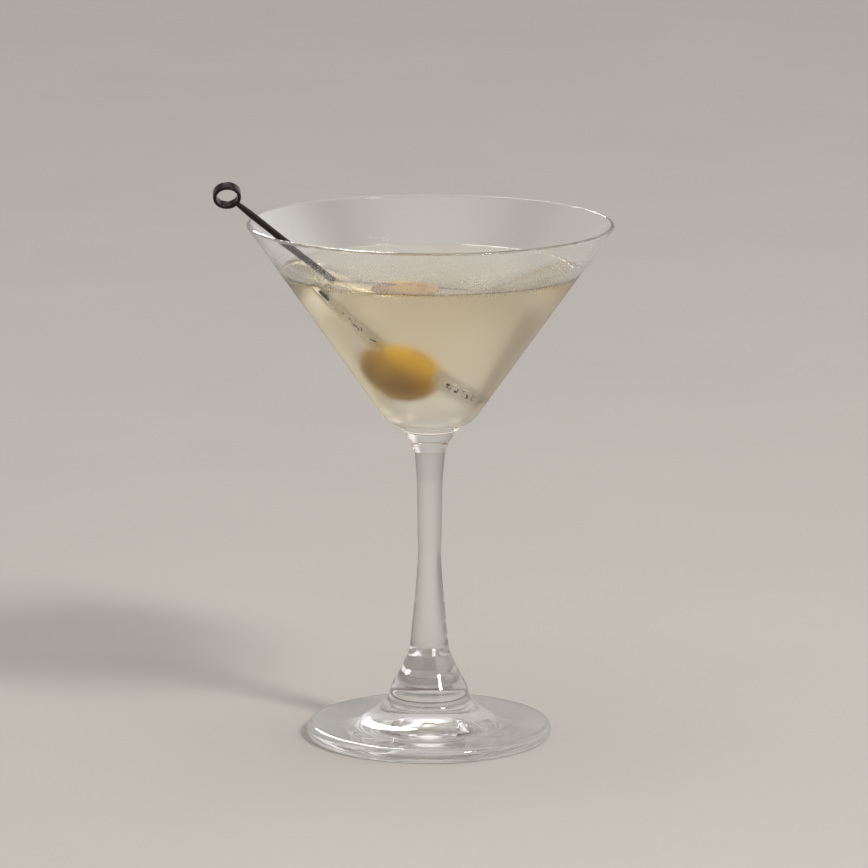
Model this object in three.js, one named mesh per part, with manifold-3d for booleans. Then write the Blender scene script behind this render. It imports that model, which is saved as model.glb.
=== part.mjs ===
// A dirty martini: a long-stemmed cocktail glass, the drink in it, and a green olive on a black cocktail pick
// that leans on the rim. Millimetres, +Z up. The glass is turned about its own axis; the whole is then moved so
// that the origin is the middle of its bounding box, on the surface that the foot stands on.
import * as THREE from "three";
import { mergeVertices } from "three/addons/utils/BufferGeometryUtils.js";
import Module from "manifold-3d";

// Glass, outside. The cone's top radius is that of its sharp corner; rounding the lip takes 0.5 off it.
const HEIGHT = 165.3;
const CONE_TOP_RADIUS = 58.3;
const CONE_HALF_ANGLE = THREE.MathUtils.degToRad(35.2);
const LIP_ROUND = 0.5;
const BOWL_CORNER = { r: 13.3, z: 101.45, round: 9 };
const COLLAR = { r: 9.4, top: 100.6, bottom: 99.3, chamfer: 0.3 };
const FOOT_RADIUS = 38.9;
const FOOT_EDGE = { height: 4.4, lowRound: 1.75, highRound: 2 };

// Glass, outside, as [radius, height] pairs on smooth curves, from the foot's top up to the collar
const FOOT_TOP = [[35.5, 4.55], [30, 4.9], [25, 5.45], [20, 6.6], [16, 8.8], [13.4, 11.6]];
const KNOB = [[12.9, 13.2], [12, 16.3], [10.5, 19], [9.05, 21.6], [7.84, 24.2], [6.7, 26.8]];
const LOWER_STEM = [[6.12, 29.5], [5.38, 37.3], [4.39, 47.8], [3.71, 58.2], [3.85, 66], [3.95, 74]];
const UPPER_STEM = [[4.1, 82.8], [4.4, 86.5], [4.7, 90], [4.95, 92.6]];
const NECK = [[5.8, 94.3], [6.5, 95.9], [7, 96.4], [7.4, 97.4], [7.5, 98.6]];

// Glass, inside and underneath
const LIP_WALL = 1.25;
const BASE_WALL = 1.6;
const FLOOR = 104.8;
const FLOOR_ROUND = 12;
const HOLLOW = { r: 20, depth: 3.4 };
const REST_RING = 36;

// Drink
const LEVEL = 150.3;
const GAP = 0.3;

// Cocktail pick: where it crosses the rim, which way it runs from there, and its own sizes
const PICK_HEADING = THREE.MathUtils.degToRad(31.6);
const PICK_SLOPE = THREE.MathUtils.degToRad(37.9);
const PICK_OVERHANG = 20.8;
const PICK_REACH = 92.2;
const PICK_RADIUS = 1.05;
const PICK_NECK = { r: 0.8, length: 3, intoRing: 0.5 };
const PICK_POINT = { r: 0.35, cap: 0.2, length: 9 };
const RING = { outer: 4.3, inner: 3.3, width: 3, chamfer: 0.25, roll: THREE.MathUtils.degToRad(-40) };

// Olive: half its length and half its thickness, and where the pick runs through it
const OLIVE = { halfLength: 11.3, radius: 10, along: 64.3, below: 4.9, blunt: 0.93 };

// Facets round each turned body
const TURNS = 48;
const OLIVE_TURNS = 28;
const SHAFT_TURNS = 12;
const RING_TURNS = 32;

const wasm = await Module();
wasm.setup();

// Radius of the bowl's outer cone at a height.
function coneRadius(z) {
  return CONE_TOP_RADIUS - (HEIGHT - z) * Math.tan(CONE_HALF_ANGLE);
}

// Radius of the bowl's inner cone at a height; the wall thickens evenly from the lip to the base.
function boreRadius(z) {
  const down = (HEIGHT - z) / (HEIGHT - FLOOR);
  const wall = THREE.MathUtils.lerp(LIP_WALL, BASE_WALL, down);
  return coneRadius(z) - wall / Math.cos(CONE_HALF_ANGLE);
}

function point(r, z) {
  return new THREE.Vector2(r, z);
}

// Points of the arc that rounds corner b between the straight stretches a-b and b-c.
function rounded(a, b, c, radius, steps) {
  const back = a.clone().sub(b).normalize();
  const on = c.clone().sub(b).normalize();
  const half = Math.acos(THREE.MathUtils.clamp(back.dot(on), -1, 1)) / 2;
  const middle = back.clone().add(on).normalize().multiplyScalar(radius / Math.sin(half));
  const centre = b.clone().add(middle);
  const start = b.clone().addScaledVector(back, radius / Math.tan(half)).sub(centre);
  const end = b.clone().addScaledVector(on, radius / Math.tan(half)).sub(centre);
  const sweep = Math.atan2(start.cross(end), start.dot(end));
  const points = [];
  for (let i = 0; i <= steps; i += 1) {
    points.push(start.clone().rotateAround(point(0, 0), (sweep * i) / steps).add(centre));
  }
  return points;
}

// Points of a smooth curve through the given [radius, height] pairs.
function smooth(pairs, steps) {
  return new THREE.SplineCurve(pairs.map(([r, z]) => point(r, z))).getPoints(steps);
}

// A body turned about +Z from an outline that starts and ends on the axis.
function turned(outline, turns) {
  return new THREE.LatheGeometry(outline, turns).rotateX(Math.PI / 2);
}

// The hollow under the foot, from its crown on the axis to its edge on the rest ring.
function hollowOutline(steps) {
  const points = [];
  for (let i = 0; i <= steps; i += 1) {
    const r = (HOLLOW.r * i) / steps;
    points.push(point(r, (HOLLOW.depth * (1 + Math.cos((Math.PI * r) / HOLLOW.r))) / 2));
  }
  return points;
}

// The inside of the bowl from the axis to a height, pulled in by a clearance on every side.
function boreOutline(top, clearance) {
  const inward = clearance / Math.cos(CONE_HALF_ANGLE);
  const floor = FLOOR + clearance;
  const centre = point(0, floor);
  const corner = point(boreRadius(floor) - inward, floor);
  const rim = point(boreRadius(top) - inward, top);
  return [centre, ...rounded(centre, corner, rim, FLOOR_ROUND - clearance, 5), rim];
}

function glassGeometry() {
  const footSide = point(FOOT_RADIUS, 0);
  const footTop = point(FOOT_RADIUS, FOOT_EDGE.height);
  const footSweep = smooth(FOOT_TOP, 7);
  const collarTop = point(COLLAR.r, COLLAR.top);
  const bowlCorner = point(BOWL_CORNER.r, BOWL_CORNER.z);
  const cone = point(coneRadius(HEIGHT), HEIGHT);
  const bore = boreOutline(HEIGHT, 0);
  const lip = bore.pop();
  const outline = [
    ...hollowOutline(5),
    point(REST_RING, 0),
    ...rounded(point(REST_RING, 0), footSide, footTop, FOOT_EDGE.lowRound, 3),
    ...rounded(footSide, footTop, footSweep[0], FOOT_EDGE.highRound, 3),
    ...footSweep,
    ...smooth(KNOB, 5),
    ...smooth(LOWER_STEM, 6),
    ...smooth(UPPER_STEM, 3),
    ...smooth(NECK, 4),
    point(COLLAR.r - COLLAR.chamfer, COLLAR.bottom),
    point(COLLAR.r, COLLAR.bottom + COLLAR.chamfer),
    collarTop,
    ...rounded(collarTop, bowlCorner, cone, BOWL_CORNER.round, 5),
    ...rounded(bowlCorner, cone, lip, LIP_ROUND, 3),
    ...rounded(cone, lip, bore.at(-1), LIP_ROUND, 3),
    ...bore.reverse(),
  ];
  return turned(outline, TURNS);
}

function drinkGeometry() {
  return turned([...boreOutline(LEVEL, GAP), point(0, LEVEL)], TURNS);
}

// The pick's shaft: its point is at the origin and it runs up +Z to its ring's outside.
function shaftGeometry(clearance) {
  const length = PICK_REACH + PICK_OVERHANG - RING.outer + PICK_NECK.intoRing;
  const outline = [
    point(0, -clearance),
    point(PICK_POINT.r + clearance, PICK_POINT.cap - clearance),
    point(PICK_RADIUS + clearance, PICK_POINT.length),
    point(PICK_RADIUS + clearance, length - PICK_NECK.length),
    point(PICK_NECK.r + clearance, length),
    point(0, length),
  ];
  return turned(outline, SHAFT_TURNS);
}

// The ring at the pick's top end: a short band whose axis crosses the shaft.
function ringGeometry(clearance) {
  const low = -RING.width / 2 - clearance;
  const high = RING.width / 2 + clearance;
  const inner = RING.inner - clearance;
  const outer = RING.outer + clearance;
  const { chamfer } = RING;
  const band = [
    point(inner, low + chamfer),
    point(inner + chamfer, low),
    point(outer - chamfer, low),
    point(outer, low + chamfer),
    point(outer, high - chamfer),
    point(outer - chamfer, high),
    point(inner + chamfer, high),
    point(inner, high - chamfer),
    point(inner, low + chamfer),
  ];
  return new THREE.LatheGeometry(band, RING_TURNS).translate(0, 0, PICK_REACH + PICK_OVERHANG);
}

// The olive, its length along +Z, as a slightly blunt ellipsoid.
function oliveGeometry(clearance) {
  const steps = 16;
  const outline = [];
  for (let i = 0; i <= steps; i += 1) {
    const angle = (Math.PI * i) / steps;
    const around = i === 0 || i === steps ? 0 : Math.sin(angle) ** OLIVE.blunt;
    outline.push(point((OLIVE.radius + clearance) * around, -(OLIVE.halfLength + clearance) * Math.cos(angle)));
  }
  return turned(outline, OLIVE_TURNS);
}

// A closed geometry as a solid that can be cut and joined.
function solidOf(geometry) {
  const bare = geometry.clone();
  bare.deleteAttribute("normal");
  bare.deleteAttribute("uv");
  const merged = mergeVertices(bare, 1e-4);
  const vertProperties = new Float32Array(merged.attributes.position.array);
  const triVerts = new Uint32Array(merged.index.array);
  return new wasm.Manifold(new wasm.Mesh({ numProp: 3, vertProperties, triVerts }));
}

function geometryOf(solid) {
  const mesh = solid.getMesh();
  const geometry = new THREE.BufferGeometry();
  geometry.setAttribute("position", new THREE.BufferAttribute(mesh.vertProperties, 3));
  geometry.setIndex(new THREE.BufferAttribute(mesh.triVerts, 1));
  geometry.computeVertexNormals();
  return geometry;
}

function pickSolid(clearance) {
  return solidOf(shaftGeometry(clearance)).add(solidOf(ringGeometry(clearance)));
}

// The pick's own frame: +Z from its point up the shaft, +Y along the ring's axis.
function pickPlace() {
  const level = Math.cos(PICK_SLOPE);
  const shaft = new THREE.Vector3(
    -level * Math.cos(PICK_HEADING),
    -level * Math.sin(PICK_HEADING),
    Math.sin(PICK_SLOPE),
  );
  const flat = new THREE.Vector3(-Math.sin(PICK_HEADING), Math.cos(PICK_HEADING), 0);
  const ringAxis = flat.clone().applyAxisAngle(shaft, RING.roll);
  const side = ringAxis.clone().cross(shaft);
  const lift = (LIP_ROUND + PICK_RADIUS + GAP) / level;
  const lipCentre = boreRadius(HEIGHT) + LIP_ROUND * Math.tan((Math.PI / 2 - CONE_HALF_ANGLE) / 2);
  const onRim = new THREE.Vector3(
    -lipCentre * Math.cos(PICK_HEADING),
    -lipCentre * Math.sin(PICK_HEADING),
    HEIGHT - LIP_ROUND + lift,
  );
  const tip = onRim.addScaledVector(shaft, -PICK_REACH);
  return new THREE.Matrix4().makeBasis(side, ringAxis, shaft).setPosition(tip);
}

// The olive's frame: its length along the shaft, its middle straight below the shaft.
function olivePlace(pickFrame) {
  const shaft = new THREE.Vector3();
  const ringAxis = new THREE.Vector3();
  pickFrame.extractBasis(new THREE.Vector3(), ringAxis, shaft);
  const flat = new THREE.Vector3(-Math.sin(PICK_HEADING), Math.cos(PICK_HEADING), 0);
  const below = shaft.clone().cross(flat).normalize();
  const centre = new THREE.Vector3(0, 0, PICK_REACH - OLIVE.along).applyMatrix4(pickFrame);
  centre.addScaledVector(below, OLIVE.below);
  return new THREE.Matrix4().makeBasis(flat.clone().cross(shaft), flat, shaft).setPosition(centre);
}

function material(name, color, roughness, options = {}) {
  return new THREE.MeshStandardMaterial({ name, color, roughness, metalness: 0, ...options });
}

const pickFrame = pickPlace();
const oliveFrame = olivePlace(pickFrame);
const widerPick = pickSolid(GAP).transform(pickFrame.elements);
const widerOlive = solidOf(oliveGeometry(GAP)).transform(oliveFrame.elements);
const olive = solidOf(oliveGeometry(0)).transform(oliveFrame.elements).subtract(widerPick);
const drink = solidOf(drinkGeometry()).subtract(widerPick).subtract(widerOlive);

const glassMesh = new THREE.Mesh(
  glassGeometry(),
  material("glass", 0xe9eceb, 0.05, { transparent: true, opacity: 0.35 }),
);
glassMesh.name = "glass";

const drinkMesh = new THREE.Mesh(
  geometryOf(drink),
  material("drink", 0xd8cf9e, 0.1, { transparent: true, opacity: 0.75 }),
);
drinkMesh.name = "drink";

const oliveMesh = new THREE.Mesh(geometryOf(olive), material("olive", 0xa8861f, 0.35));
oliveMesh.name = "olive";

const pickMesh = new THREE.Mesh(geometryOf(pickSolid(0)), material("pick", 0x1c1311, 0.25));
pickMesh.name = "cocktail_pick";
pickMesh.applyMatrix4(pickFrame);

const martini = new THREE.Group();
martini.name = "dirty_martini";
martini.add(glassMesh, drinkMesh, oliveMesh, pickMesh);

const middle = new THREE.Box3().setFromObject(martini, true).getCenter(new THREE.Vector3());
martini.position.set(-middle.x, -middle.y, 0);

export default martini;
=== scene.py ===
"""Looks of a dirty martini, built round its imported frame.

The glass, the drink, the olive and the cocktail pick are made afresh in finer meshes, exactly where the
frame has them, and the bowl gets the fine condensation of a chilled glass. Every length is in metres.
"""

import logging
import math
import random
from dataclasses import dataclass, field
from enum import IntEnum
from typing import Callable, Sequence

import bpy
import numpy as np
from mathutils import Matrix, Vector


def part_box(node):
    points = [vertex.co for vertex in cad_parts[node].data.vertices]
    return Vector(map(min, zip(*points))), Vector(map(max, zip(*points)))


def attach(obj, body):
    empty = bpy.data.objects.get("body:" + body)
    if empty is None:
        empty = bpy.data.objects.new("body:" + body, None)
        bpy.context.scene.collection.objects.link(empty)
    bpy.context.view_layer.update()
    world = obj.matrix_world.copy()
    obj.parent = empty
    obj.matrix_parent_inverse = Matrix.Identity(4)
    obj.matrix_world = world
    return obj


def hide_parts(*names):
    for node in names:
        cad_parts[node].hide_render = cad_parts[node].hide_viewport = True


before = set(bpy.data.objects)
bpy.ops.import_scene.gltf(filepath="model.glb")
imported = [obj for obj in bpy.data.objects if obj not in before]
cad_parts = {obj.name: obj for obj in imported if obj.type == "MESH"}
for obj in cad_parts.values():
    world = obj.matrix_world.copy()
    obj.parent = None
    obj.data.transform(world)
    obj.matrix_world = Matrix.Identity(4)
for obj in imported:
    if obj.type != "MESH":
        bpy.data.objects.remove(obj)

LOG = logging.getLogger("dirty_martini")
MM = 0.001
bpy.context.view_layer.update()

Outline = list[Vector]
Colour = tuple[float, float, float]
Spot = tuple[float, float, float]


# --------------------------------------------------------------------------- outlines


def at(r: float, z: float) -> Vector:
    """Returns an outline's point at a radius and a height, both given in millimetres."""
    return Vector((r * MM, z * MM))


def rounded(a: Vector, b: Vector, c: Vector, radius: float, steps: int) -> Outline:
    """Rounds the corner between two straight stretches.

    Args:
        a: Where the first stretch starts.
        b: The sharp corner.
        c: Where the second stretch ends.
        radius: Radius of the round, in metres.
        steps: Number of edges along the arc.

    Returns:
        The points of the arc, from the first stretch to the second.
    """
    back = (a - b).normalized()
    ahead = (c - b).normalized()
    half = back.angle(ahead) / 2
    centre = b + (back + ahead).normalized() * (radius / math.sin(half))
    start = b + back * (radius / math.tan(half)) - centre
    end = b + ahead * (radius / math.tan(half)) - centre
    sweep = math.atan2(start.x * end.y - start.y * end.x, start.dot(end))
    arc = []
    for step in range(steps + 1):
        turn = Matrix.Rotation(sweep * step / steps, 2)
        arc.append(centre + turn @ start)
    return arc


def smooth(knots: Sequence[Vector], steps: int) -> Outline:
    """Draws a smooth curve through a few points.

    Args:
        knots: The points that the curve runs through.
        steps: Number of edges between two neighbouring knots.

    Returns:
        The curve's points, the last knot included.
    """
    ends = [2 * knots[0] - knots[1], *knots, 2 * knots[-1] - knots[-2]]
    curve = []
    for before, start, end, after in zip(ends, ends[1:], ends[2:], ends[3:]):
        for step in range(steps):
            t = step / steps
            curve.append(
                0.5
                * (
                    2 * start
                    + (end - before) * t
                    + (2 * before - 5 * start + 4 * end - after) * t**2
                    + (3 * start - before - 3 * end + after) * t**3
                )
            )
    curve.append(knots[-1].copy())
    return curve


def curve(pairs: Sequence[tuple[float, float]], steps: int) -> Outline:
    """Draws a smooth curve through (radius, height) pairs given in millimetres."""
    return smooth([at(r, z) for r, z in pairs], steps)


def held(a: Vector, b: Vector, margin: float = 0.12 * MM) -> Outline:
    """Supports a straight stretch near its ends, so that it looks straight when shaded smooth.

    Args:
        a: Where the stretch starts.
        b: Where it ends.
        margin: How far from each end its support point lies, in metres.

    Returns:
        The two support points.
    """
    ahead = (b - a).normalized() * margin
    return [a + ahead, b - ahead]


# --------------------------------------------------------------------------- bench


def deselect_all() -> None:
    """Leaves object mode with nothing selected."""
    if bpy.context.object is not None and bpy.context.object.mode != "OBJECT":
        bpy.ops.object.mode_set(mode="OBJECT")
    bpy.ops.object.select_all(action="DESELECT")


def pick_up(piece: bpy.types.Object) -> None:
    """Makes one piece the only selected and active one."""
    deselect_all()
    piece.select_set(True)
    bpy.context.view_layer.objects.active = piece


def extruded_chain(name: str, points: Sequence[Vector]) -> bpy.types.Object:
    """Draws a chain of edges by extruding a single vertex from point to point.

    Args:
        name: Name of the new piece.
        points: The chain's points, in the frame.

    Returns:
        The piece, left in edit mode with its last vertex selected.
    """
    deselect_all()
    bpy.ops.mesh.primitive_plane_add(size=MM, location=points[0])
    piece = bpy.context.object
    piece.name = name
    bpy.ops.object.transform_apply(location=True, rotation=True, scale=True)
    bpy.ops.object.mode_set(mode="EDIT")
    bpy.ops.mesh.select_all(action="SELECT")
    bpy.ops.mesh.merge(type="CENTER")
    for start, end in zip(points, points[1:]):
        bpy.ops.mesh.extrude_region_move(TRANSFORM_OT_translate={"value": end - start})
    return piece


def turned(name: str, outline: Outline, axis: Vector, steps: int, closed: bool = False) -> bpy.types.Object:
    """Spins an outline round a vertical axis into a closed body.

    Args:
        name: Name of the new piece.
        outline: Radius and height of each point. It starts and ends on the axis unless it is closed.
        axis: A point of the vertical axis.
        steps: Number of steps round the axis.
        closed: Whether the outline's last point joins its first one.

    Returns:
        The piece, in object mode.
    """
    ring = [*outline, outline[0]] if closed else outline
    piece = extruded_chain(name, [Vector((axis.x + p.x, axis.y, p.y)) for p in ring])
    bpy.ops.mesh.select_all(action="SELECT")
    bpy.ops.mesh.remove_doubles(threshold=0.001 * MM)
    bpy.ops.mesh.spin(steps=steps, angle=math.tau, center=(axis.x, axis.y, 0.0), axis=(0.0, 0.0, 1.0))
    bpy.ops.mesh.select_all(action="SELECT")
    bpy.ops.mesh.remove_doubles(threshold=0.001 * MM)
    bpy.ops.mesh.normals_make_consistent(inside=False)
    bpy.ops.object.mode_set(mode="OBJECT")
    return piece


def place(piece: bpy.types.Object, matrix: Matrix) -> None:
    """Moves a piece by a matrix and bakes the move into its mesh."""
    pick_up(piece)
    piece.matrix_world = matrix @ piece.matrix_world
    bpy.ops.object.transform_apply(location=True, rotation=True, scale=True)


def apply_modifier(piece: bpy.types.Object, kind: str, **settings: object) -> None:
    """Adds a modifier with its settings and applies it."""
    pick_up(piece)
    modifier = piece.modifiers.new(kind.title(), kind)
    for key, value in settings.items():
        setattr(modifier, key, value)
    bpy.ops.object.modifier_apply(modifier=modifier.name)


def smooth_shade(piece: bpy.types.Object, degrees: float) -> None:
    """Shades a piece smooth, with sharp edges kept where faces meet at more than an angle."""
    pick_up(piece)
    bpy.ops.object.shade_smooth_by_angle(angle=math.radians(degrees))


def dress(piece: bpy.types.Object, *materials: bpy.types.Material) -> None:
    """Gives a piece its materials, one slot each, in place of any that it has."""
    piece.data.materials.clear()
    for material in materials:
        piece.data.materials.append(material)


def hand_over(piece: bpy.types.Object, slot: str, *nodes: str) -> None:
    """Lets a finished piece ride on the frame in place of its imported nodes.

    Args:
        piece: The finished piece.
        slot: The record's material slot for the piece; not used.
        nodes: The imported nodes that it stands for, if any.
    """
    if nodes:
        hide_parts(*nodes)
    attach(piece, "root")
    LOG.info("%s: %d faces", piece.name, len(piece.data.polygons))


# --------------------------------------------------------------------------- shading


def socket_value(socket: bpy.types.NodeSocket, value: object) -> None:
    """Sets a socket's own value, with colours given an alpha of one where it is missing."""
    if isinstance(value, tuple) and len(value) == 3 and socket.type == "RGBA":
        value = (*value, 1.0)
    socket.default_value = value


class NodeSheet:
    """A node tree under construction, with short ways to add and wire its nodes."""

    def __init__(self, tree: bpy.types.NodeTree) -> None:
        """Starts on an empty tree."""
        self.tree = tree
        tree.nodes.clear()

    def feed(self, node: bpy.types.Node, inputs: dict) -> bpy.types.Node:
        """Gives some of a node's inputs their values.

        Args:
            node: The node.
            inputs: Values or output sockets for its inputs, by name or number.

        Returns:
            The node.
        """
        for key, value in inputs.items():
            target = node.inputs[key]
            if isinstance(value, bpy.types.NodeSocket):
                self.tree.links.new(value, target)
            else:
                socket_value(target, value)
        return node

    def add(self, kind: str, inputs: dict | None = None, **settings: object) -> bpy.types.Node:
        """Adds a node.

        Args:
            kind: The node's type name, without its ShaderNode prefix where it has one.
            inputs: Values or output sockets for its inputs, by name or number.
            settings: Properties of the node itself.

        Returns:
            The new node.
        """
        known = kind if kind.startswith(("ShaderNode", "NodeGroup")) else f"ShaderNode{kind}"
        node = self.tree.nodes.new(known)
        for key, value in settings.items():
            setattr(node, key, value)
        return self.feed(node, inputs or {})

    def group(self, tree: bpy.types.NodeTree, inputs: dict) -> bpy.types.Node:
        """Places a shared node group with its own input values."""
        node = self.tree.nodes.new("ShaderNodeGroup")
        node.node_tree = tree
        return self.feed(node, inputs)

    def clear_surface(
        self, colour: object, roughness: object, ior: float, **more: object
    ) -> bpy.types.NodeSocket:
        """Adds the shader of a clear body's surface.

        Args:
            colour: Its tint, as a value or a socket.
            roughness: Its roughness, as a value or a socket.
            ior: Its refractive index.
            more: Further inputs of the shader.

        Returns:
            The shader's socket.
        """
        inputs = {"Base Color": colour, "Roughness": roughness, "IOR": ior, "Transmission Weight": 1.0}
        return self.add("BsdfPrincipled", {**inputs, **more}).outputs["BSDF"]

    def blend(self, factor: object, low: object, high: object) -> bpy.types.NodeSocket:
        """Mixes two colours by a factor and returns the mixed colour's socket."""
        node = self.add("Mix", {0: factor, 6: low, 7: high}, data_type="RGBA")
        return node.outputs[2]

    def number_blend(self, factor: object, low: object, high: object) -> bpy.types.NodeSocket:
        """Mixes two numbers by a factor and returns the result's socket."""
        node = self.add("Mix", {0: factor, 2: low, 3: high}, data_type="FLOAT")
        return node.outputs[0]

    def calculate(self, operation: str, first: object, second: object) -> bpy.types.NodeSocket:
        """Combines two numbers by a math operation and returns the result's socket."""
        return self.add("Math", {0: first, 1: second}, operation=operation).outputs[0]

    def soft_step(self, value: object, low: object, high: object) -> bpy.types.NodeSocket:
        """Rises smoothly from 0 at low to 1 at high and returns the result's socket."""
        inputs = {"Value": value, "From Min": low, "From Max": high}
        node = self.add("MapRange", inputs, interpolation_type="SMOOTHSTEP")
        return node.outputs["Result"]

    def range(self, value: bpy.types.NodeSocket, *limits: float) -> bpy.types.NodeSocket:
        """Maps a value from (low, high) to (low, high) and returns the result's socket."""
        names = ("From Min", "From Max", "To Min", "To Max")
        node = self.add("MapRange", {"Value": value, **dict(zip(names, limits))})
        return node.outputs["Result"]


def new_material(name: str) -> tuple[bpy.types.Material, NodeSheet]:
    """Makes an empty node material and returns it with its sheet."""
    material = bpy.data.materials.new(name)
    material.use_nodes = True
    return material, NodeSheet(material.node_tree)


def shared_group(
    name: str, inputs: dict[str, float | None], outputs: Sequence[str], draw: Callable
) -> bpy.types.NodeTree:
    """Builds a node group once, however many materials use it.

    Args:
        name: Name of the group.
        inputs: Its inputs with their first values, which are None for a vector.
        outputs: Names of its outputs, which are numbers.
        draw: Draws it on a sheet from its input sockets, and returns its outputs' sockets in order.

    Returns:
        The group.
    """
    known = bpy.data.node_groups.get(name)
    if known is not None:
        return known
    tree = bpy.data.node_groups.new(name, "ShaderNodeTree")
    for key, start in inputs.items():
        kind = "NodeSocketVector" if start is None else "NodeSocketFloat"
        socket = tree.interface.new_socket(key, in_out="INPUT", socket_type=kind)
        if start is not None:
            socket.default_value = start
    for key in outputs:
        tree.interface.new_socket(key, in_out="OUTPUT", socket_type="NodeSocketFloat")
    sheet = NodeSheet(tree)
    results = draw(sheet, sheet.add("NodeGroupInput").outputs)
    sheet.add("NodeGroupOutput", dict(zip(outputs, results)))
    return tree


def draw_mottle(sheet: NodeSheet, ends: bpy.types.NodeOutputs) -> tuple[bpy.types.NodeSocket, ...]:
    """Draws fine mottling, and returns its mask and its height."""
    spot = sheet.add("TexCoord").outputs["Object"]
    noise = sheet.add("TexNoise", {"Vector": spot, "Scale": ends["Scale"], "Detail": ends["Detail"]})
    height = noise.outputs["Fac"]
    mask = sheet.add("MapRange", {"Value": height, "From Min": ends["Low"], "From Max": ends["High"]})
    return mask.outputs["Result"], height


def mottle_group() -> bpy.types.NodeTree:
    """Returns the shared group for fine mottling over a surface."""
    inputs = {"Scale": 100.0, "Detail": 3.0, "Low": 0.3, "High": 0.7}
    return shared_group("mottle", inputs, ("Mask", "Height"), draw_mottle)


def draw_streak(sheet: NodeSheet, ends: bpy.types.NodeOutputs) -> tuple[bpy.types.NodeSocket, ...]:
    """Draws a soft streak between two points, and returns its mask."""
    start = ends["Start"]
    spot = sheet.add("TexCoord").outputs["Object"]
    reach = sheet.add("VectorMath", {0: spot, 1: start}, operation="SUBTRACT").outputs["Vector"]
    line = sheet.add("VectorMath", {0: ends["End"], 1: start}, operation="SUBTRACT").outputs["Vector"]
    along = sheet.add("VectorMath", {0: reach, 1: line}, operation="DOT_PRODUCT").outputs["Value"]
    length = sheet.add("VectorMath", {0: line, 1: line}, operation="DOT_PRODUCT").outputs["Value"]
    share = sheet.add("Math", {0: along, 1: length}, operation="DIVIDE", use_clamp=True).outputs[0]
    near = sheet.add("VectorMath", {0: line, 3: share}, operation="SCALE").outputs["Vector"]
    away = sheet.add("VectorMath", {0: reach, 1: near}, operation="DISTANCE").outputs["Value"]
    return (sheet.soft_step(away, ends["Edge"], ends["Core"]),)


def streak_group() -> bpy.types.NodeTree:
    """Returns the shared group for a soft streak between two points of a surface."""
    inputs = {"Start": None, "End": None, "Core": 0.0, "Edge": 0.0}
    return shared_group("streak", inputs, ("Mask",), draw_streak)


def draw_mist(sheet: NodeSheet, ends: bpy.types.NodeOutputs) -> tuple[bpy.types.NodeSocket, ...]:
    """Draws fine condensation, and returns its density and a mask of the clear drops in it."""
    film, beads = 0.375, 0.42
    half_width = 0.03
    spot = sheet.add("TexCoord").outputs["Object"]
    axes = sheet.add("SeparateXYZ", {"Vector": spot})
    height = axes.outputs["Z"]
    fade_in = sheet.soft_step(height, ends["Top"], ends["Thick"])
    patch = sheet.group(mottle_group(), {"Scale": 95.0, "Detail": 3.0, "Low": 0.35, "High": 0.6})
    uneven = sheet.range(patch.outputs["Mask"], 0.0, 1.0, 0.92, 1.0)
    above = sheet.soft_step(height, ends["Even"], ends["Beads"])
    grain = sheet.add("TexNoise", {"Vector": spot, "Scale": 3600.0, "Detail": 1.0}).outputs["Fac"]
    front = sheet.soft_step(axes.outputs["Y"], ends["Far"], ends["Near"])
    uneven = sheet.calculate("MULTIPLY", uneven, front)
    density = sheet.calculate("MULTIPLY", fade_in, uneven)
    density = sheet.calculate("MULTIPLY", density, beads)
    covered = sheet.calculate("SUBTRACT", sheet.range(density, 0.0, 1.0, 0.28, 0.72), grain)
    covered = sheet.range(covered, -half_width, half_width, 0.0, 1.0)
    even = sheet.calculate("MULTIPLY", uneven, film)
    mist = sheet.number_blend(above, even, covered)
    drops = sheet.add("TexNoise", {"Vector": spot, "Scale": 850.0, "Detail": 2.0}).outputs["Fac"]
    over = sheet.calculate("SUBTRACT", drops, sheet.number_blend(ends["Beaded"], 1.0, 0.56))
    clear = sheet.range(over, 0.0, half_width, 0.0, 1.0)
    return mist, clear


def mist_group() -> bpy.types.NodeTree:
    """Builds the shared group for fine condensation on the outside of a cold bowl.

    Returns:
        A group with the heights Even, up to which the mist is a thin film, Beads, where it has turned
        into beads, Thick and Top, between which it fades out, with Near and Far, between which it fades
        out towards the back, and with Beaded, how far it has run together into drops. Its outputs are
        Mist, its density, and Clear, a mask of those drops.
    """
    names = ("Even", "Beads", "Thick", "Top", "Near", "Far", "Beaded")
    return shared_group("mist", dict.fromkeys(names, 0.0), ("Mist", "Clear"), draw_mist)


@dataclass(frozen=True)
class ClearGlass:
    """Polished soda-lime glass: faintly wavy, with painted shade that makes it warmer and darker where it is
    seen edge-on.
    """

    face_tint: Colour = (0.998, 0.998, 0.995)
    # Painted shade: the edge colour stands in for the dark surroundings that the glass's edges refract and
    # reflect.
    painted_edge_shade: Colour = (0.34, 0.23, 0.21)
    edge_shade_power: float = 13.0
    ior: float = 1.5
    wave: float = 0.02
    name: str = "clear_glass"

    def tint(self, sheet: NodeSheet) -> bpy.types.NodeSocket:
        """Mixes the glass's tint on its faces into painted shade at its edges, where it is seen edge-on.

        Args:
            sheet: The material's sheet.

        Returns:
            The tint's socket.
        """
        # Painted shade: Layer Weight darkens and warms the colour towards edges seen edge-on, in place of
        # the dark surroundings seen through them.
        edge = sheet.add("LayerWeight", {"Blend": 0.5}).outputs["Facing"]
        share = sheet.calculate("POWER", edge, self.edge_shade_power)
        return sheet.blend(share, self.face_tint, self.painted_edge_shade)

    def build(self) -> bpy.types.Material:
        """Returns the finished material."""
        material, sheet = new_material(self.name)
        waves = sheet.group(mottle_group(), {"Scale": 60.0, "Detail": 1.0})
        bump = sheet.add(
            "Bump", {"Strength": self.wave, "Distance": 1.0 * MM, "Height": waves.outputs["Height"]}
        )
        surface = sheet.clear_surface(self.tint(sheet), 0.0, self.ior, Normal=bump.outputs["Normal"])
        sheet.add("OutputMaterial", {"Surface": surface})
        return material


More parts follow.
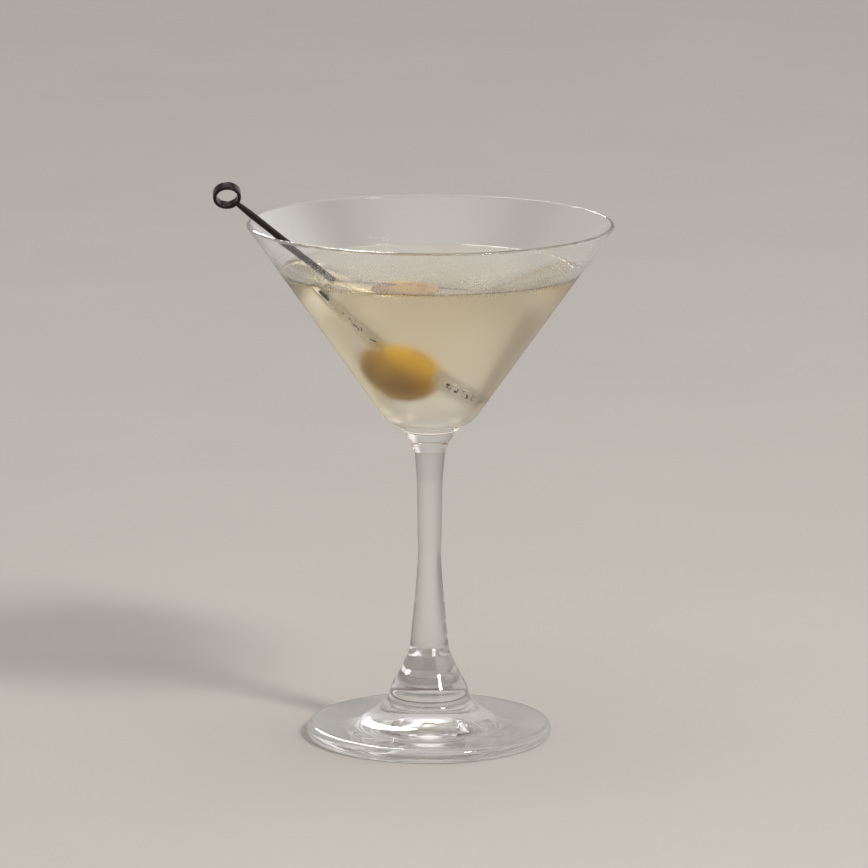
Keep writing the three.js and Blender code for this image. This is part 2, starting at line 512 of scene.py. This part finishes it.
@dataclass(frozen=True)
class Streak:
    """A streak on the bowl's outside.

    Its core and its edge are how far from its middle line, in millimetres, it starts and ends to fade.
    """

    start: Vector
    end: Vector
    core: float
    edge: float

    def mask(self, sheet: NodeSheet) -> bpy.types.NodeSocket:
        """Draws the streak on a material's sheet and returns its mask's socket."""
        inputs = {
            "Start": tuple(self.start),
            "End": tuple(self.end),
            "Core": self.core * MM,
            "Edge": self.edge * MM,
        }
        return sheet.group(streak_group(), inputs).outputs["Mask"]


@dataclass(frozen=True)
class MistedGlass:
    """The same glass where fine condensation scatters what is seen through it."""

    level: float
    top: float
    near: float
    far: float
    heavy: tuple[Streak, ...]
    wiped: tuple[Streak, ...]
    # Painted shade at the misted bowl's edges, as on the clear glass.
    painted_edge_shade: Colour = (0.55, 0.45, 0.42)
    ior: float = 1.5
    bare: float = 0.0
    thick: float = 0.85
    run_together: float = 0.8
    wet: float = 0.03
    film_ends_below: float = 1.5 * MM
    beads_start_above: float = 1.0 * MM
    fade_starts_above: float = 4.0 * MM

    def united(self, sheet: NodeSheet, streaks: Sequence[Streak]) -> bpy.types.NodeSocket:
        """Draws several streaks together.

        Args:
            sheet: The material's sheet.
            streaks: The streaks, at least one.

        Returns:
            The socket of their common mask.
        """
        mask = streaks[0].mask(sheet)
        for streak in streaks[1:]:
            mask = sheet.calculate("MAXIMUM", mask, streak.mask(sheet))
        return mask

    def build(self) -> bpy.types.Material:
        """Returns the finished material."""
        material, sheet = new_material("misted_glass")
        heavy = self.united(sheet, self.heavy)
        mist = sheet.group(
            mist_group(),
            {
                "Even": self.level - self.film_ends_below,
                "Beads": self.level + self.beads_start_above,
                "Thick": self.level + self.fade_starts_above,
                "Top": self.top,
                "Near": self.near,
                "Far": self.far,
                "Beaded": heavy,
            },
        )
        rough = sheet.range(mist.outputs["Mist"], 0.0, 1.0, self.bare, self.thick)
        rough = sheet.number_blend(heavy, rough, self.run_together)
        clear = sheet.calculate("MAXIMUM", mist.outputs["Clear"], self.united(sheet, self.wiped))
        roughness = sheet.number_blend(clear, rough, self.wet)
        # Painted shade darkens and warms the misted glass's colour towards its edges.
        tint = ClearGlass(painted_edge_shade=self.painted_edge_shade, edge_shade_power=4.0).tint(sheet)
        surface = sheet.clear_surface(tint, roughness, self.ior)
        sheet.add("OutputMaterial", {"Surface": surface})
        return material


@dataclass(frozen=True)
class CloudyDrink:
    """A pale yellow-green spirit with a little olive brine, tinted by its depth."""

    tint: Colour = (0.80, 0.62, 0.16)
    density: float = 10.0
    ior: float = 1.345

    def build(self) -> bpy.types.Material:
        """Returns the finished material."""
        material, sheet = new_material("cloudy_drink")
        cloud = sheet.group(mottle_group(), {"Scale": 40.0, "Detail": 2.0})
        colour = sheet.blend(cloud.outputs["Mask"], (0.98, 0.98, 0.95), (1.0, 1.0, 0.98))
        surface = sheet.clear_surface(colour, 0.0, self.ior)
        inside = sheet.add("VolumeAbsorption", {"Color": self.tint, "Density": self.density})
        sheet.add("OutputMaterial", {"Surface": surface, "Volume": inside.outputs["Volume"]})
        return material


@dataclass(frozen=True)
class WaterDrops:
    """Clear drops of condensed water."""

    ior: float = 1.333

    def build(self) -> bpy.types.Material:
        """Returns the finished material."""
        material, sheet = new_material("condensed_water")
        mask = sheet.group(mottle_group(), {"Scale": 300.0}).outputs["Mask"]
        roughness = sheet.range(mask, 0.0, 1.0, 0.0, 0.03)
        surface = sheet.clear_surface((1.0, 1.0, 1.0), roughness, self.ior)
        sheet.add("OutputMaterial", {"Surface": surface})
        return material


@dataclass(frozen=True)
class OliveSkin:
    """Wet skin of a brined green olive, golden with browner patches and pale specks."""

    golden: Colour = (0.98, 0.59, 0.001)
    brown: Colour = (0.48, 0.18, 0.001)
    speck: Colour = (0.92, 0.62, 0.02)

    def build(self) -> bpy.types.Material:
        """Returns the finished material."""
        material, sheet = new_material("olive_skin")
        patches = sheet.group(mottle_group(), {"Scale": 90.0, "Detail": 3.0, "Low": 0.35, "High": 0.75})
        specks = sheet.group(mottle_group(), {"Scale": 900.0, "Detail": 2.0, "Low": 0.6, "High": 0.72})
        skin = sheet.blend(patches.outputs["Mask"], self.golden, self.brown)
        colour = sheet.blend(specks.outputs["Mask"], skin, self.speck)
        roughness = sheet.range(patches.outputs["Mask"], 0.0, 1.0, 0.35, 0.5)
        bump = sheet.add(
            "Bump", {"Strength": 0.15, "Distance": 0.3 * MM, "Height": specks.outputs["Height"]}
        )
        surface = sheet.add(
            "BsdfPrincipled",
            {
                "Base Color": colour,
                "Roughness": roughness,
                "Specular IOR Level": 0.03,
                "Subsurface Weight": 0.15,
                "Subsurface Radius": (0.6, 0.35, 0.1),
                "Subsurface Scale": 3.0 * MM,
                "Normal": bump.outputs["Normal"],
            },
        )
        sheet.add("OutputMaterial", {"Surface": surface.outputs["BSDF"]})
        return material


@dataclass(frozen=True)
class BlackLacquer:
    """Glossy, very dark brown-black lacquer."""

    base: Colour = (0.009, 0.0035, 0.0035)
    worn: Colour = (0.017, 0.007, 0.007)

    def build(self) -> bpy.types.Material:
        """Returns the finished material."""
        material, sheet = new_material("black_lacquer")
        wear = sheet.group(mottle_group(), {"Scale": 500.0, "Detail": 4.0})
        colour = sheet.blend(wear.outputs["Mask"], self.base, self.worn)
        roughness = sheet.range(wear.outputs["Mask"], 0.0, 1.0, 0.16, 0.3)
        surface = sheet.add(
            "BsdfPrincipled",
            {"Base Color": colour, "Roughness": roughness, "Specular IOR Level": 0.22},
        )
        sheet.add("OutputMaterial", {"Surface": surface.outputs["BSDF"]})
        return material


@dataclass(frozen=True)
class PaleFloor:
    """Plain pale plaster-like floor."""

    base: Colour = (0.478, 0.466, 0.445)

    def build(self) -> bpy.types.Material:
        """Returns the finished material."""
        material, sheet = new_material("pale_floor")
        mottle = sheet.group(mottle_group(), {"Scale": 9.0, "Detail": 5.0})
        darker = tuple(0.97 * c for c in self.base)
        colour = sheet.blend(mottle.outputs["Mask"], self.base, darker)
        surface = sheet.add(
            "BsdfPrincipled",
            {"Base Color": colour, "Roughness": 0.8, "Specular IOR Level": 0.0},
        )
        sheet.add("OutputMaterial", {"Surface": surface.outputs["BSDF"]})
        return material


# --------------------------------------------------------------------------- glass


class GlassZone(IntEnum):
    """The glass's finishes, in the order of their material slots."""

    CLEAR = 0
    MISTED = 1
    LIP = 2
    STEM = 3


@dataclass
class CocktailGlass:
    """Bowl, collar, stem, knob and foot, turned in one piece round a vertical axis."""

    cone_top: float = 58.3
    half_angle: float = math.radians(35.2)
    height: float = 165.3
    lip_round: float = 0.3
    lip_slope: float = 0.5
    lip_wall: float = 1.25
    base_wall: float = 1.6
    floor: float = 104.8
    floor_round: float = 12.0
    collar: float = 9.4
    collar_chamfer: float = 0.3
    foot_radius: float = 38.9
    foot_edge: float = 4.4
    foot_low_round: float = 1.75
    foot_high_round: float = 2.0
    hollow_radius: float = 20.0
    hollow_depth: float = 3.4
    rest_ring: float = 36.0
    mist_above: float = 12.0
    mist_low: float = 101.0
    mist_near: float = 2.0
    mist_far: float = 14.0
    lip_band: float = 0.75
    stem_low: float = 12.0
    stem_high: float = 99.2
    steps: int = 192
    axis: Vector = field(default_factory=lambda: sum(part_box("glass"), Vector()) / 2)

    def cone_radius(self, z: float) -> float:
        """Returns the bowl's outer radius at a height, in millimetres."""
        return self.cone_top - (self.height - z) * math.tan(self.half_angle)

    def bore_radius(self, z: float) -> float:
        """Returns the bowl's inner radius at a height, in millimetres."""
        down = (self.height - z) / (self.height - self.floor)
        wall = self.lip_wall + (self.base_wall - self.lip_wall) * down
        return self.cone_radius(z) - wall / math.cos(self.half_angle)

    def bore(self, top: float, inward: float, steps: int) -> Outline:
        """Draws the inside of the bowl, from the middle of its floor upwards.

        Args:
            top: Height where the outline ends.
            inward: How far inside the wall it stays; negative reaches into the wall.
            steps: Number of edges along the round at the floor.

        Returns:
            The outline's points.
        """
        aside = inward / math.cos(self.half_angle)
        low = self.floor + inward
        centre = at(0.0, low)
        corner = at(self.bore_radius(low) - aside, low)
        rim = at(self.bore_radius(top) - aside, top)
        return [centre, *rounded(centre, corner, rim, (self.floor_round - inward) * MM, steps), rim]

    def wall_spot(self, azimuth: float, z: float) -> Vector:
        """Returns a spot on the bowl's outside.

        Args:
            azimuth: Angle from the front towards +X, in degrees.
            z: Height in millimetres.

        Returns:
            The spot, in the frame.
        """
        turn = math.radians(azimuth)
        out = Vector((math.sin(turn), -math.cos(turn), 0.0)) * self.cone_radius(z) * MM
        return Vector((self.axis.x, self.axis.y, z * MM)) + out

    def underside(self) -> Outline:
        """Draws the shallow hollow under the foot, from its crown to the rest ring."""
        steps = 24
        points = []
        for step in range(steps + 1):
            share = step / steps
            rise = self.hollow_depth * (1 + math.cos(math.pi * share)) / 2
            points.append(at(self.hollow_radius * share, rise))
        return points

    def foot_and_stem(self) -> Outline:
        """Draws the foot's edge and top, the knob, the stem and the neck under the bowl."""
        edge_low = at(self.foot_radius, 0.0)
        edge_high = at(self.foot_radius, self.foot_edge)
        sweep = curve([(35.5, 4.55), (30, 4.9), (25, 5.45), (20, 6.6), (16, 8.8), (13.4, 11.6)], 7)
        knob = curve([(12.9, 13.2), (12, 16.3), (10.5, 19), (9.05, 21.6), (7.84, 24.2), (6.7, 26.8)], 6)
        stem = curve([(6.12, 29.5), (5.38, 37.3), (4.39, 47.8), (3.71, 58.2), (3.85, 66), (3.95, 74)], 7)
        top_of_stem = curve([(4.1, 82.8), (4.4, 86.5), (4.7, 90), (4.95, 92.6)], 4)
        neck = curve([(5.8, 94.3), (6.5, 95.9), (7, 96.4), (7.4, 97.4), (7.5, 98.6)], 5)
        return [
            *rounded(at(self.rest_ring, 0.0), edge_low, edge_high, self.foot_low_round * MM, 8),
            *rounded(edge_low, edge_high, sweep[0], self.foot_high_round * MM, 8),
            *sweep,
            *knob,
            *stem,
            *top_of_stem,
            *neck,
        ]

    def outline(self) -> Outline:
        """Draws the whole section, from under the foot, up the outside and back down the bore."""
        collar_low = at(self.collar - self.collar_chamfer, 99.3)
        collar_side = at(self.collar, 99.3 + self.collar_chamfer)
        collar_top = at(self.collar, 100.6)
        corner = at(13.3, 101.45)
        low = self.height - self.lip_slope
        cone = at(self.cone_radius(low), low)
        bore = self.bore(self.height, 0.0, 16)
        lip = bore.pop()
        foot_of_cone = rounded(collar_top, corner, cone, 9.0 * MM, 14)
        outer_lip = rounded(corner, cone, lip, self.lip_round * MM, 8)
        inner_lip = rounded(cone, lip, bore[-1], self.lip_round * MM, 8)
        return [
            *self.underside(),
            at(self.rest_ring, 0.0),
            *self.foot_and_stem(),
            collar_low,
            collar_side,
            collar_top,
            *foot_of_cone,
            *held(foot_of_cone[-1], outer_lip[0]),
            *outer_lip,
            *inner_lip,
            *held(inner_lip[-1], bore[-1]),
            *reversed(bore),
        ]

    def finishes(self, level: float) -> dict[GlassZone, bpy.types.Material]:
        """Makes the glass's finishes.

        Args:
            level: Height of the drink, in millimetres.

        Returns:
            The material of each zone, in the order of the slots.
        """
        heavy = (
            Streak(self.wall_spot(-47.5, 149.0), self.wall_spot(-28.5, 131.6), 1.0, 4.4),
            Streak(self.wall_spot(8.0, 120.6), self.wall_spot(38.0, 112.6), 1.0, 4.8),
        )
        wiped = (Streak(self.wall_spot(-48.4, 149.6), self.wall_spot(-45.4, 147.4), 1.35, 1.6),)
        misted = MistedGlass(
            level=level * MM,
            top=(level + self.mist_above) * MM,
            near=self.mist_near * MM,
            far=self.mist_far * MM,
            heavy=heavy,
            wiped=wiped,
        )
        # Painted shade at the edges: faint and pale on the lip, strong and dark brown on the stem.
        lip = ClearGlass(face_tint=(1.0, 1.0, 1.0), painted_edge_shade=(0.88, 0.78, 0.72), name="lip_glass")
        stem = ClearGlass(painted_edge_shade=(0.17, 0.08, 0.085), edge_shade_power=1.0, name="stem_glass")
        return {
            GlassZone.CLEAR: ClearGlass().build(),
            GlassZone.MISTED: misted.build(),
            GlassZone.LIP: lip.build(),
            GlassZone.STEM: stem.build(),
        }

    def zone(self, face: bpy.types.MeshPolygon, level: float) -> GlassZone:
        """Finds the zone of a face.

        Args:
            face: A face of the finished piece.
            level: Height of the drink, in millimetres.

        Returns:
            The zone that its middle lies in.
        """
        z = face.center.z / MM
        out = Vector((face.center.x - self.axis.x, face.center.y - self.axis.y, 0.0))
        if z > self.height - self.lip_band:
            return GlassZone.LIP
        if self.stem_low < z < self.stem_high:
            return GlassZone.STEM
        outside = face.normal.dot(out) > 0 and out.length > self.bore_radius(z) * MM
        chilled = self.mist_low < z < level + self.mist_above
        if outside and chilled and out.y < self.mist_far * MM:
            return GlassZone.MISTED
        return GlassZone.CLEAR

    def build(self, level: float) -> bpy.types.Object:
        """Builds the glass and dresses it.

        Args:
            level: Height of the drink, in millimetres, up to which the bowl is misted.

        Returns:
            The finished piece.
        """
        piece = turned("glass_body", self.outline(), self.axis, self.steps)
        smooth_shade(piece, 28.0)
        dress(piece, *self.finishes(level).values())
        for face in piece.data.polygons:
            face.material_index = self.zone(face, level)
        hand_over(piece, "clear_glass", "glass")
        return piece


# --------------------------------------------------------------------------- drink


@dataclass
class Drink:
    """The drink, which reaches just into the glass wall and climbs it in a fine meniscus."""

    glass: CocktailGlass
    level: float = 150.3
    climb: float = 0.7
    fade: float = 1.3
    into_wall: float = 0.15
    rings: tuple[float, ...] = (0.0, 0.25, 0.55, 0.9, 1.4, 2.0, 2.8, 3.8, 5.2, 7.5, 12.0, 24.0)
    steps: int = 160

    def surface(self) -> Outline:
        """Draws the free surface, from the wall to the axis."""
        wall = self.glass.bore_radius(self.level + self.climb) + 0.2
        points = []
        for inward in self.rings:
            rise = self.climb * math.exp(-inward / self.fade)
            points.append(at(wall - inward, self.level + rise))
        points.append(at(0.0, self.level))
        return points

    def build(self) -> bpy.types.Object:
        """Builds the drink and dresses it."""
        sides = self.glass.bore(self.level + self.climb, -self.into_wall, 14)
        piece = turned("drink_body", [*sides[:-1], *self.surface()], self.glass.axis, self.steps)
        smooth_shade(piece, 40.0)
        dress(piece, CloudyDrink().build())
        hand_over(piece, "cloudy_drink", "drink")
        return piece


# --------------------------------------------------------------------------- pick and olive


@dataclass
class CocktailPick:
    """A thin round pick with a point at one end and a short band as a ring at the other."""

    glass: CocktailGlass
    heading: float = math.radians(31.6)
    slope: float = math.radians(37.9)
    overhang: float = 20.8
    reach: float = 92.2
    radius: float = 1.05
    neck: float = 0.8
    tip: float = 0.35
    point: float = 9.0
    ring_outer: float = 4.3
    ring_inner: float = 3.3
    ring_width: float = 3.0
    ring_roll: float = math.radians(-40.0)
    clearance: float = 0.3

    def shaft_up(self) -> Vector:
        """Returns the direction from the point to the ring."""
        level = math.cos(self.slope)
        return Vector(
            (-level * math.cos(self.heading), -level * math.sin(self.heading), math.sin(self.slope))
        )

    def across(self) -> Vector:
        """Returns the level direction square to the shaft."""
        return Vector((-math.sin(self.heading), math.cos(self.heading), 0.0))

    def rim_point(self) -> Vector:
        """Returns the point of the shaft's axis over the lip that it leans on."""
        glass = self.glass
        quarter = math.pi / 2 - glass.half_angle
        lip = glass.bore_radius(glass.height) + glass.lip_round * math.tan(quarter / 2)
        lift = (glass.lip_round + self.radius + self.clearance) / math.cos(self.slope)
        out = Vector((-math.cos(self.heading), -math.sin(self.heading), 0.0)) * lip * MM
        foot = Vector((glass.axis.x, glass.axis.y, (glass.height - glass.lip_round + lift) * MM))
        return foot + out

    def frame(self) -> Matrix:
        """Returns the pick's own frame: +Z from its point up the shaft, +Y along the ring's axis."""
        up = self.shaft_up()
        ring_axis = Matrix.Rotation(self.ring_roll, 3, up) @ self.across()
        side = ring_axis.cross(up)
        turn = Matrix((side, ring_axis, up)).transposed().to_4x4()
        return Matrix.Translation(self.rim_point() - up * self.reach * MM) @ turn

    def shaft(self) -> bpy.types.Object:
        """Builds the shaft along +Z, its point at the origin."""
        length = self.reach + self.overhang - self.ring_outer + 0.5
        outline = [
            at(0.0, 0.0),
            at(0.6 * self.tip, 0.08),
            at(self.tip, 0.35),
            *smooth([at(0.62, 3.0), at(0.9, 6.2), at(self.radius, self.point)], 4),
            at(self.radius, 0.5 * length),
            *smooth([at(self.radius, length - 6.5), at(0.93, length - 3.5), at(self.neck, length - 1.2)], 5),
            at(self.neck + 0.15, length),
            at(0.0, length),
        ]
        return turned("cocktail_pick_black", outline, Vector((0.0, 0.0, 0.0)), 32)

    def ring(self) -> bpy.types.Object:
        """Builds the ring round +Y, at its place on the shaft."""
        half = self.ring_width / 2
        corners = [
            at(self.ring_inner, -half),
            at(self.ring_outer, -half),
            at(self.ring_outer, half),
            at(self.ring_inner, half),
        ]
        band = []
        for number, corner in enumerate(corners):
            before = corners[number - 1]
            after = corners[(number + 1) % len(corners)]
            band += rounded(before, corner, after, 0.3 * MM, 5)
        piece = turned("pick_ring", band, Vector((0.0, 0.0, 0.0)), 72, closed=True)
        place(
            piece,
            Matrix.Translation((0.0, 0.0, (self.reach + self.overhang) * MM))
            @ Matrix.Rotation(math.radians(90), 4, "X"),
        )
        return piece

    def build(self) -> bpy.types.Object:
        """Builds the pick and dresses it."""
        ring = self.ring()
        piece = self.shaft()
        apply_modifier(piece, "BOOLEAN", operation="UNION", solver="EXACT", object=ring)
        bpy.data.objects.remove(ring)
        place(piece, self.frame())
        smooth_shade(piece, 35.0)
        dress(piece, BlackLacquer().build())
        hand_over(piece, "black_pick", "cocktail_pick")
        return piece


@dataclass
class Olive:
    """A whole green olive, pierced off its middle, with a dimple at each end."""

    pick: CocktailPick
    half_length: float = 11.3
    radius: float = 10.0
    along: float = 64.3
    below: float = 4.9
    blunt: float = 0.93

    def frame(self) -> Matrix:
        """Returns the olive's own frame: its length along +Z, its middle at the origin."""
        up = self.pick.shaft_up()
        across = self.pick.across()
        below = up.cross(across).normalized()
        centre = self.pick.rim_point() - up * self.along * MM + below * self.below * MM
        turn = Matrix((across.cross(up), across, up)).transposed().to_4x4()
        return Matrix.Translation(centre) @ turn

    def build(self) -> bpy.types.Object:
        """Builds the olive and dresses it."""
        deselect_all()
        bpy.ops.mesh.primitive_uv_sphere_add(segments=96, ring_count=64, radius=1.0)
        piece = bpy.context.object
        piece.name = "olive_whole"
        for vertex in piece.data.vertices:
            self.shape(vertex)
        place(piece, self.frame())
        pick_up(piece)
        bpy.ops.object.shade_smooth()
        dress(piece, OliveSkin().build())
        hand_over(piece, "olive_flesh", "olive")
        return piece

    def shape(self, vertex: bpy.types.MeshVertex) -> None:
        """Moves a vertex of a unit sphere to its place on the olive."""
        x, y, z = vertex.co
        around = max(math.hypot(x, y), 1e-9)
        wide = around**self.blunt
        dimple = 0.9 * math.exp(-((around / 0.16) ** 2))
        length = self.half_length * z - math.copysign(dimple, z)
        side = Vector((x, y)) / around * wide * self.radius
        vertex.co = Vector((side.x, side.y, length)) * MM


# --------------------------------------------------------------------------- condensation


@dataclass
class DropZone:
    """A stretch of a wall with drops on it.

    Its azimuths are degrees from the front towards +X; its heights and the drops' radii are millimetres.
    A drop's stretch is how long it is down the slope, and its flatness how high it stands, in radii.
    """

    count: int
    azimuths: tuple[float, float]
    heights: tuple[float, float]
    radii: tuple[float, float]
    stretch: tuple[float, float] = (1.0, 1.3)
    flatness: float = 0.3
    inside: bool = False


@dataclass
class Condensation:
    """Drops of water on the bowl, larger than the mist between them."""

    glass: CocktailGlass
    seed: int = 7
    sunk: float = 0.03
    zones: tuple[DropZone, ...] = (
        DropZone(46, (-180, 180), (114, 150), (0.08, 0.17)),
        DropZone(24, (-180, 180), (150, 159), (0.12, 0.22), (1.0, 2.2)),
        DropZone(14, (8, 45), (110, 121), (0.12, 0.26)),
        DropZone(10, (-54, -30), (132, 150), (0.12, 0.26)),
        DropZone(5, (50, 72), (104.5, 109), (0.16, 0.28)),
        DropZone(14, (40, 82), (146, 158), (0.14, 0.24), (2.0, 3.6)),
        DropZone(7, (-74, -60), (133, 149), (0.22, 0.34), (5.0, 9.0)),
        DropZone(7, (-167, -155), (152.0, 155.0), (0.6, 1.3), (0.6, 1.0), 0.13, True),
    )

    def dome(self) -> tuple[np.ndarray, list[tuple[int, ...]]]:
        """Makes one drop as a closed dome of radius one on the XY plane.

        Returns:
            The dome's vertices and its faces.
        """
        deselect_all()
        bpy.ops.mesh.primitive_uv_sphere_add(segments=12, ring_count=8, radius=1.0)
        dome = bpy.context.object
        bpy.ops.object.mode_set(mode="EDIT")
        bpy.ops.mesh.select_all(action="SELECT")
        bpy.ops.mesh.bisect(
            plane_co=(0.0, 0.0, 0.0), plane_no=(0.0, 0.0, 1.0), use_fill=True, clear_inner=True
        )
        bpy.ops.mesh.select_all(action="SELECT")
        bpy.ops.mesh.normals_make_consistent(inside=False)
        bpy.ops.object.mode_set(mode="OBJECT")
        points = np.array([vertex.co for vertex in dome.data.vertices])
        faces = [tuple(face.vertices) for face in dome.data.polygons]
        bpy.data.objects.remove(dome)
        return points, faces

    def seat(self, azimuth: float, height: float, inside: bool) -> Matrix:
        """Returns the frame of a spot on the wall.

        Args:
            azimuth: Angle from the front towards +X, in degrees.
            height: Height in millimetres.
            inside: Whether the spot is on the inside of the bowl.

        Returns:
            A frame with +Z out of the wall and +Y down the slope.
        """
        glass = self.glass
        turn = math.radians(azimuth)
        out = Vector((math.sin(turn), -math.cos(turn), 0.0))
        lean = glass.half_angle
        normal = out * math.cos(lean) - Vector((0.0, 0.0, math.sin(lean)))
        radius = glass.bore_radius(height) if inside else glass.cone_radius(height)
        normal = -normal if inside else normal
        down = Vector((0.0, 0.0, -1.0)) - normal * -normal.z
        down.normalize()
        side = down.cross(normal)
        place_at = Vector((glass.axis.x, glass.axis.y, height * MM)) + out * radius * MM
        place_at -= normal * self.sunk * MM
        turn_matrix = Matrix((side, down, normal)).transposed().to_4x4()
        return Matrix.Translation(place_at) @ turn_matrix

    def build(self) -> bpy.types.Object:
        """Builds all the drops as one piece and dresses it."""
        luck = random.Random(self.seed)
        dome, dome_faces = self.dome()
        points, faces = [], []
        for zone in self.zones:
            for _ in range(zone.count):
                radius = luck.uniform(*zone.radii) * luck.uniform(0.7, 1.0)
                length = radius * luck.uniform(*zone.stretch)
                seat = self.seat(luck.uniform(*zone.azimuths), luck.uniform(*zone.heights), zone.inside)
                shape = Matrix.Diagonal((radius * MM, length * MM, radius * zone.flatness * MM, 1.0))
                move = np.array(seat @ shape)
                first = len(points) * len(dome)
                points.append(dome @ move[:3, :3].T + move[:3, 3])
                faces += [tuple(first + number for number in face) for face in dome_faces]
        mesh = bpy.data.meshes.new("condensed_drops")
        mesh.from_pydata(np.concatenate(points).tolist(), [], faces)
        piece = bpy.data.objects.new("condensed_drops", mesh)
        bpy.context.scene.collection.objects.link(piece)
        smooth_shade(piece, 50.0)
        dress(piece, WaterDrops().build())
        hand_over(piece, "clear_glass")
        return piece


# --------------------------------------------------------------------------- studio


@dataclass(frozen=True)
class SoftLamp:
    """A rectangular soft light: where it hangs, what it faces, its width and height, power and colour."""

    name: str
    spot: Spot
    aim: Spot
    size: tuple[float, float]
    power: float
    colour: Colour
    reflections_only: bool = False

    def build(self) -> bpy.types.Object:
        """Hangs the lamp and returns it."""
        data = bpy.data.lights.new(self.name, "AREA")
        data.shape = "RECTANGLE"
        data.size, data.size_y = self.size
        data.energy = self.power
        data.color = self.colour
        lamp = bpy.data.objects.new(self.name, data)
        bpy.context.scene.collection.objects.link(lamp)
        lamp.location = self.spot
        lamp.rotation_euler = (Vector(self.aim) - Vector(self.spot)).to_track_quat("-Z", "Y").to_euler()
        lamp.visible_diffuse = not self.reflections_only
        lamp.visible_transmission = not self.reflections_only
        return lamp


@dataclass
class Studio:
    """Pale floor, soft light and the camera."""

    glass: CocktailGlass
    camera_back: float = 1.782
    camera_height: float = 0.457
    camera_pitch: float = math.radians(11.40)
    camera_aside: float = 0.0013
    camera_roll: float = math.radians(0.19)
    lens: float = 238.5
    dusk: Colour = (0.12, 0.08, 0.075)
    pale: Colour = (0.54, 0.515, 0.495)
    overhead: Colour = (1.45, 1.41, 1.38)
    fill: Colour = (0.56, 0.515, 0.475)
    card: Colour = (1.25, 1.25, 1.25)
    key: SoftLamp = SoftLamp(
        "key", (1.24, -1.24, 1.72), (0.0, 0.0, 0.08), (0.36, 0.60), 35.0, (1.0, 0.95, 0.89)
    )
    window: SoftLamp = SoftLamp(
        "window", (-0.33, 1.57, 1.27), (0.0, 0.0, 0.165), (0.26, 1.26), 22.0, (1.0, 0.99, 0.97), True
    )
    bounces: int = 40
    glossy_bounces: int = 24

    def floor(self) -> None:
        """Lays the floor."""
        deselect_all()
        bpy.ops.mesh.primitive_circle_add(vertices=96, radius=7.0, fill_type="NGON", location=(0, 0, 0))
        piece = bpy.context.object
        piece.name = "studio_floor"
        dress(piece, PaleFloor().build())

    def air(self) -> None:
        """Sets the light all round.

        It is pale behind and on the left, has a bright card on the right, and is a warm dusk elsewhere.
        The limits are parts of a direction of length one.
        """
        world = bpy.data.worlds.new("studio_air")
        bpy.context.scene.world = world
        world.use_nodes = True
        sheet = NodeSheet(world.node_tree)
        way = sheet.add("SeparateXYZ", {"Vector": sheet.add("TexCoord").outputs["Generated"]})
        behind = sheet.soft_step(way.outputs["Y"], 0.35, 0.75)
        above = sheet.soft_step(way.outputs["Z"], 0.7, 0.94)
        right = sheet.soft_step(way.outputs["X"], 0.35, 0.62)
        low = sheet.soft_step(way.outputs["Z"], 0.75, 0.5)
        card = sheet.calculate("MULTIPLY", right, low)
        left = sheet.calculate("MULTIPLY", sheet.soft_step(way.outputs["X"], -0.25, -0.6), low)
        colour = sheet.blend(left, self.dusk, self.fill)
        colour = sheet.blend(behind, colour, self.pale)
        colour = sheet.blend(above, colour, self.overhead)
        colour = sheet.blend(card, colour, self.card)
        back = sheet.add("Background", {"Color": colour, "Strength": 1.0})
        sheet.add("OutputWorld", {"Surface": back.outputs["Background"]})

    def camera(self) -> None:
        """Sets the camera at the viewing angle."""
        data = bpy.data.cameras.new("front_camera")
        data.lens = self.lens
        data.sensor_width = 36.0
        data.clip_start = 0.1
        data.clip_end = 30.0
        camera = bpy.data.objects.new("front_camera", data)
        bpy.context.scene.collection.objects.link(camera)
        camera.location = (
            self.glass.axis.x + self.camera_aside,
            self.glass.axis.y - self.camera_back,
            self.camera_height,
        )
        aim = Matrix.Rotation(math.pi / 2 - self.camera_pitch, 3, "X")
        roll = Matrix.Rotation(self.camera_roll, 3, "Z")
        camera.rotation_euler = (aim @ roll).to_euler()
        bpy.context.scene.camera = camera

    def build(self) -> None:
        """Sets up the whole studio."""
        self.camera()
        self.floor()
        self.air()
        self.key.build()
        self.window.build()
        scene = bpy.context.scene
        scene.view_settings.view_transform = "Standard"
        scene.cycles.max_bounces = self.bounces
        scene.cycles.glossy_bounces = self.glossy_bounces
        scene.cycles.transmission_bounces = self.bounces


def main() -> None:
    """Builds every piece in order and hands the model over."""
    logging.basicConfig(level=logging.INFO, format="%(name)s %(message)s")
    glass = CocktailGlass()
    drink = Drink(glass)
    pick = CocktailPick(glass)
    glass.build(drink.level)
    Condensation(glass).build()
    drink.build()
    pick.build()
    Olive(pick).build()
    Studio(glass).build()


if __name__ == "__main__":
    main()
